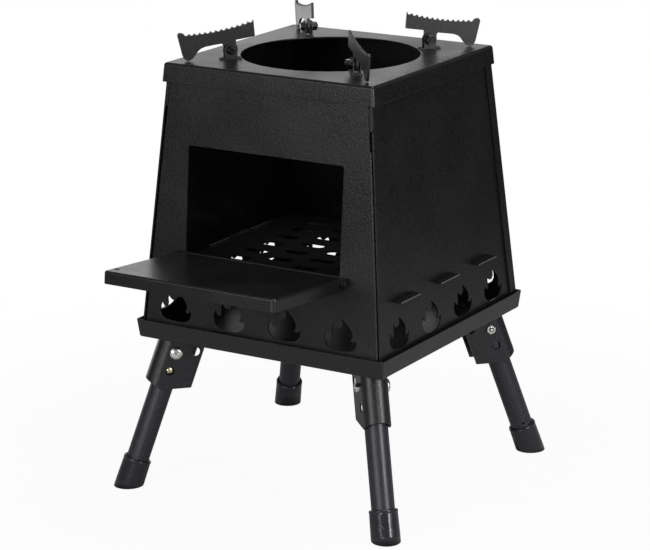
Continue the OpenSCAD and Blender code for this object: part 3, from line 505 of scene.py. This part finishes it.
def back_panel():
    """Back sheet whose flanges wrap round the side panels between tray and cap."""
    bm = bmesh.new()
    place = on_face(BACK)
    bend = 2.0
    low, high, top = STAND_H + TRAY_H + 1, CAP_LOW - SEAT_GAP, BODY_LOW + BODY_H
    wide = SEAT_GAP + SHEET_FLAT - bend
    # The flange starts and ends a little inside its step in the outline
    step = 0.02
    flange = [(half_at(low) + wide, up_slope(low) + step, 0),
              (half_at(high) + wide, up_slope(high) - step, 0)]
    right = [slope_point(BODY_LOW), slope_point(low), *flange, slope_point(high), slope_point(top)]
    wire(bm, right + mirrored(right), place)
    flame_wires(bm, place, 0.0)
    fill_flat(bm, list(bm.edges), facing(place))
    merge_flat(bm)
    bm.normal_update()
    for side in (-1, 1):
        edge = edge_between(bm, [place @ Vector((side * x, y, z)) for x, y, z in flange])
        fold(bm, [edge], bend, FLANGE_TURN, BACK_FLANGE - bend)
    face_outward(bm, bm.faces[:], max(bm.faces, key=lambda f: f.calc_area()), facing(place))
    sheet_piece("back_sheet", bm, "stove", "back_panel")


def cap():
    """Square cap with a round hole, pressed from one sheet, so that its corners are closed."""
    bm = bmesh.new()
    bmesh.ops.create_cube(bm, size=1.0)
    off = CAP_GAP + SHEET_FLAT
    for v in bm.verts:
        z = CAP_TOP if v.co.z > 0 else CAP_LOW
        half = half_at(z) + off
        v.co = Vector((math.copysign(half, v.co.x), math.copysign(half, v.co.y), z))
    bm.normal_update()
    under = min(bm.faces, key=lambda f: f.normal.z)
    bmesh.ops.delete(bm, geom=[under], context="FACES_ONLY")
    pressed_r = 2.6
    round_off(bm, [e for e in bm.edges if not e.is_boundary], pressed_r, affect="EDGES")
    bm.normal_update()
    top = max((f for f in bm.faces if f.normal.z > 0.999), key=lambda f: f.calc_area())
    cut_round(bm, top, (0, 0, CAP_TOP), CAP_HOLE / 2, 128, (0, 0, 1))
    sheet_piece("cap_sheet", bm, "cap", "top_plate", edge=0.35)


def fire_grate():
    """Slotted grate, sooted all over but for the ends of its tabs."""
    piece = coated_copy("fire_grate", "stove", fire_coat, 0.25)
    piece.data.materials.append(rubbed_steel)
    reach = max(v.co.x for v in piece.data.vertices) - 0.1 * MM
    for face in piece.data.polygons:
        if abs(face.center.x) > reach:
            face.material_index = 1


def fuel_door():
    """Door open as a shelf: a shallow folded pan, open below and behind, with a lobe round each pin."""
    bm = bmesh.new()
    place = on_face(FRONT)
    top = up_slope(STAND_H + OPEN_LOW)
    bmesh.ops.create_cube(bm, size=1.0)
    for v in bm.verts:
        v.co = Vector((math.copysign(DOOR_W / 2, v.co.x), top if v.co.y > 0 else top - DOOR_SKIRT,
                       DOOR_LEN if v.co.z > 0 else HINGE_OUT))
    bm.normal_update()
    opened = [f for f in bm.faces if f.normal.y < -0.9 or f.normal.z < -0.9]
    bmesh.ops.delete(bm, geom=opened, context="FACES")
    corner_r, hole_r, hole_in, hole_back = 4.5, 2.75, 6.5, 13.0
    upright = [e for e in bm.edges if not e.is_boundary and abs(e.verts[0].co.y - e.verts[1].co.y) > 1]
    round_off(bm, upright, corner_r, 8, "EDGES")
    bends = [e for e in bm.edges if not e.is_boundary and all(abs(v.co.y - top) < TOUCH for v in e.verts)]
    round_off(bm, bends, BEND_R, affect="EDGES")
    bm.normal_update()
    plate = max((f for f in bm.faces if f.normal.y > 0.999), key=lambda f: f.calc_area())
    cut_round(bm, plate, (-DOOR_W / 2 + hole_in, top, DOOR_LEN - hole_back), hole_r, 24, (0, 1, 0))
    # The tail that rests on the front panel, and the lobe round each pin
    low, pin, past_pin = top - DOOR_SKIRT + 0.01, top - HINGE_LOW, HINGE_OUT + 1
    for side in (-1, 1):
        outward = Vector((side, 0, 0))
        x = side * (DOOR_W / 2 - 0.02)
        flat_tab(bm, [(x, low, SEAT_GAP), (x, low, past_pin), (x, pin, past_pin), (x, pin, SEAT_GAP)],
                 Matrix(), outward, [0], 2.0)
        lobe = (Matrix.Translation((x - side * 0.01, pin, HINGE_OUT))
                @ Matrix.Rotation(math.radians(90), 4, "Y"))
        fill_flat(bm, round_wire(bm, lobe, HINGE_LOW + 0.4, 32), outward)
    bmesh.ops.transform(bm, matrix=place, verts=bm.verts)
    sheet_piece("door_sheet", bm, "door", "fuel_door")


# Legs
def spun(bm, profile, place, steps):
    """Turns an open profile (distance from the axis, height) round the z axis of a place."""
    verts = [bm.verts.new((r, 0, z)) for r, z in profile]
    edges = [bm.edges.new(pair) for pair in zip(verts, verts[1:])]
    bmesh.ops.spin(bm, geom=verts + edges, cent=(0, 0, 0), axis=(0, 0, 1), dvec=(0, 0, 0),
                   angle=math.radians(360), steps=steps, use_merge=True, use_duplicate=False)
    bmesh.ops.remove_doubles(bm, verts=bm.verts, dist=0.001)
    bmesh.ops.recalc_face_normals(bm, faces=bm.faces)
    bmesh.ops.transform(bm, matrix=place, verts=bm.verts)


def foot_cap(name, turn):
    """Push-on foot, its mouth rolled, cut level with the ground."""
    bm = bmesh.new()
    out, top, bore, bore_deep = TUBE_R + FOOT_WALL, -(LEG_LEN - FOOT_LEN), TUBE_R + 0.05, 12
    spun(bm, [(0, -LEG_LEN - out), (out, -LEG_LEN - out), (out, -LEG_LEN + 4), (out - 0.35, top - 4.5),
              (out - 0.5, top - 3.2), (out - 0.15, top - 2.4), (out - 0.1, top - 1.5), (out - 0.4, top - 0.6),
              (out - 1.1, top - 0.05), (out - 1.8, top - 0.1), (bore + 0.2, top - 0.8), (bore, top - 1.6),
              (bore, top - bore_deep), (0, top - bore_deep)], at_leg(turn), 64)
    cut = bmesh.ops.bisect_plane(bm, geom=bm.verts[:] + bm.edges[:] + bm.faces[:], plane_co=(0, 0, 0),
                                 plane_no=(0, 0, -1), clear_outer=True)
    sole = [g for g in cut["geom_cut"] if isinstance(g, bmesh.types.BMEdge)]
    bmesh.ops.holes_fill(bm, edges=sole, sides=0)
    bmesh.ops.recalc_face_normals(bm, faces=bm.faces)
    finish_piece("foot_" + name + "_moulded", bm, "leg_" + name, ["foot_cap_" + name],
                 foot_plastic)


def leg_screw(name, turn):
    """Pan-head screw with a cross recess; the head is on the clockwise side."""
    bm = bmesh.new()
    # Head in its own frame: z out of the head, 0 at its seat
    flat, head_h, shaft_r, shaft_end = 2.8, 3.2, 2.5, -2 * CHEEK - 4.8
    spun(bm, [(flat, head_h), (4.2, 3.0), (5.4, 2.45), (6.2, 1.6), (6.5, 0.6), (6.45, 0.0), (shaft_r, 0.0),
              (shaft_r, shaft_end), (0, shaft_end)], Matrix(), 48)
    arm, wide, recess = 1.9, 0.55, 1.4
    cross = wire(bm, [turned(90 * quarter) @ Vector((x, y, head_h)) for quarter in range(4)
                      for x, y in ((arm, -wide), (arm, wide), (wide, wide))])
    rim = [e for e in bm.edges if e.is_boundary and not e.is_wire]
    fill_flat(bm, rim + cross, Vector((0, 0, 1)))
    sunk = bmesh.ops.extrude_edge_only(bm, edges=cross)["geom"]
    deep = [g for g in sunk if isinstance(g, bmesh.types.BMVert)]
    bmesh.ops.translate(bm, vec=(0, 0, -recess), verts=deep)
    bmesh.ops.scale(bm, vec=(0.7, 0.7, 1), verts=deep)
    bottom = [g for g in sunk if isinstance(g, bmesh.types.BMEdge) and g.is_boundary]
    fill_flat(bm, bottom, Vector((0, 0, 1)))
    bmesh.ops.recalc_face_normals(bm, faces=bm.faces)
    bmesh.ops.transform(bm, matrix=at_leg(turn) @ Matrix.Translation((0, CHEEK, 0))
                        @ Matrix.Rotation(math.radians(-90), 4, "X"), verts=bm.verts)
    finish_piece("leg_screw_" + name + "_plated", bm, "stove", ["leg_screw_" + name], zinc)


def lock_button(name, turn):
    """Spring button with a domed face."""
    bm = bmesh.new()
    face = TUBE_R - 0.1
    collar = BUTTON_R + 1
    # The collar stays inside the tube when the button is out
    out = math.sqrt((TUBE_R - TUBE_WALL) ** 2 - collar ** 2) - BUTTON_TRAVEL - SEAT_GAP
    spun(bm, [(0, face), (1.2, face - 0.07), (2.3, face - 0.3), (3.2, face - 0.68), (3.85, face - 1.15),
              (4.2, face - 1.7), (BUTTON_R, face - 2.2), (BUTTON_R, out), (collar, out), (collar, out - 1),
              (0, out - 1)], Matrix(), 40)
    bmesh.ops.transform(bm, matrix=at_leg(turn) @ Matrix.Translation((0, 0, -BUTTON_OFF))
                        @ Matrix.Rotation(math.radians(-90), 4, "X"), verts=bm.verts)
    finish_piece("lock_button_" + name + "_plated", bm, "button_" + name, ["lock_button_" + name],
                 brass)


base_tray()
front_panel()
side_panel(1)
side_panel(-1)
back_panel()
cap()
fuel_door()
fire_grate()
coated_copy("door_pins", "stove", body_coat, 0.2)
coated_copy("tray_rivets", "stove", body_coat, 0.25)
coated_copy("cap_rivets", "cap", support_coat, 0.2)
for name, turn in CORNERS.items():
    coated_copy("leg_tube_" + name, "leg_" + name, tube_coat, 0.25)
    foot_cap(name, turn)
    leg_screw(name, turn)
    lock_button(name, turn)
    coated_copy("leg_nut_" + name, "stove", zinc, 0.2)
    coated_copy("leg_bracket_" + name, "stove", bracket_coat, 0.3)
    coated_copy("button_spring_" + name, "leg_" + name, spring_steel, 0.1)
    coated_copy("pot_support_" + name, "support_" + name, support_coat, 0.35)
    coated_copy("support_bracket_" + name, "cap", support_coat, 0.2)
    coated_copy("support_bolt_" + name, "cap", black_zinc, 0.3)
    coated_copy("support_nut_" + name, "cap", black_zinc, 0.2)


# Studio
def studio_floor():
    """White table round the stove; it keeps a faint shadow under the feet."""
    bm = bmesh.new()
    bmesh.ops.create_circle(bm, cap_ends=True, radius=1.0, segments=96)
    mesh = bpy.data.meshes.new("table")
    bm.to_mesh(mesh)
    bm.free()
    table = bpy.data.objects.new("table", mesh)
    bpy.context.scene.collection.objects.link(table)
    paper, tree, place = new_finish("white_table_paper")
    seen = add(tree, "ShaderNodeLightPath")
    out = add(tree, "ShaderNodeVectorMath", {0: place}, operation="LENGTH")
    edge = add(tree, "ShaderNodeMapRange", {"Value": out.outputs["Value"], "From Min": 0.25, "From Max": 0.7,
                                            "To Min": 0.95, "To Max": 1.0}, interpolation_type="SMOOTHSTEP")
    matte = add(tree, "ShaderNodeBsdfDiffuse", {"Color": linear("#b4b4b4")})
    white = add(tree, "ShaderNodeEmission", {"Color": (1, 1, 1, 1), "Strength": 1.0})
    faint = add(tree, "ShaderNodeMixShader", {"Fac": edge.outputs["Result"], 1: matte.outputs["BSDF"],
                                              2: white.outputs["Emission"]})
    shown = add(tree, "ShaderNodeMixShader", {"Fac": seen.outputs["Is Camera Ray"], 1: matte.outputs["BSDF"],
                                              2: faint.outputs["Shader"]})
    add(tree, "ShaderNodeOutputMaterial", {"Surface": shown.outputs["Shader"]})
    mesh.materials.append(paper)


def studio_light():
    """Dim room with a bright backdrop behind and to the left, and soft lamps that draw the highlights."""
    world = bpy.data.worlds.new("studio")
    bpy.context.scene.world = world
    world.use_nodes = True
    tree = world.node_tree
    tree.nodes.clear()
    seen = add(tree, "ShaderNodeLightPath")
    direction = add(tree, "ShaderNodeTexCoord").outputs["Generated"]
    height = add(tree, "ShaderNodeSeparateXYZ", {"Vector": direction})
    to_backdrop = (-0.75, 0.66, 0.0)
    behind = add(tree, "ShaderNodeVectorMath", {0: direction, 1: to_backdrop}, operation="DOT_PRODUCT")
    backdrop = add(tree, "ShaderNodeMapRange", {
        "Value": behind.outputs["Value"], "From Min": 0.80, "From Max": 1.0,
        "To Min": 0.20, "To Max": 1.65}, interpolation_type="SMOOTHSTEP")
    below = add(tree, "ShaderNodeMapRange", {
        "Value": behind.outputs["Value"], "From Min": 0.75, "From Max": 0.92,
        "To Min": 0.04, "To Max": 2.0}, interpolation_type="SMOOTHSTEP")
    ceiling = add(tree, "ShaderNodeMapRange", {
        "Value": height.outputs["Z"], "From Min": 0.12, "From Max": 0.62,
        "To Min": backdrop.outputs["Result"], "To Max": 0.12}, interpolation_type="SMOOTHSTEP")
    fade = add(tree, "ShaderNodeMapRange", {
        "Value": height.outputs["Z"], "From Min": -0.08, "From Max": 0.06,
        "To Min": below.outputs["Result"], "To Max": ceiling.outputs["Result"]},
        interpolation_type="SMOOTHSTEP")
    clear = add(tree, "ShaderNodeMath", {0: seen.outputs["Is Glossy Ray"],
                                         1: seen.outputs["Is Transmission Ray"]}, operation="MAXIMUM")
    ambient = add(tree, "ShaderNodeBackground", {"Color": (1, 1, 1, 1), "Strength": 0.40})
    room = add(tree, "ShaderNodeBackground", {"Color": (1, 1, 1, 1), "Strength": fade.outputs["Result"]})
    white = add(tree, "ShaderNodeBackground", {"Color": (1, 1, 1, 1), "Strength": 1.0})
    first = add(tree, "ShaderNodeMixShader", {"Fac": clear.outputs["Value"], 1: ambient.outputs["Background"],
                                              2: room.outputs["Background"]})
    shown = add(tree, "ShaderNodeMixShader", {"Fac": seen.outputs["Is Camera Ray"],
                                              1: first.outputs["Shader"], 2: white.outputs["Background"]})
    add(tree, "ShaderNodeOutputWorld", {"Surface": shown.outputs["Shader"]})
    # Name, place, width and height in metres, watts; each points at the middle of the stove
    aim = Vector((0, 0, 0.2))
    for name, spot, wide, high, power in (
            ("top", (0.45, -0.15, 1.95), 1.2, 1.2, 16.0),
            ("left_front", (-0.36, -1.88, 0.85), 0.85, 0.9, 12.5),
            ("low_front", (0.45, -2.2, 0.25), 1.0, 0.35, 6.8),
            ("right", (1.84, -0.42, 0.7), 0.9, 1.1, 6.5),
            ("right_strip", (1.79, -0.58, 0.75), 0.25, 0.9, 12.5)):
        lamp = bpy.data.lights.new(name, "AREA")
        lamp.shape = "RECTANGLE"
        lamp.size = wide
        lamp.size_y = high
        lamp.energy = power
        holder = bpy.data.objects.new(name, lamp)
        bpy.context.scene.collection.objects.link(holder)
        holder.location = spot
        holder.rotation_euler = (aim - Vector(spot)).to_track_quat("-Z", "Y").to_euler()


studio_floor()
studio_light()
bpy.context.scene.view_settings.view_transform = "Standard"
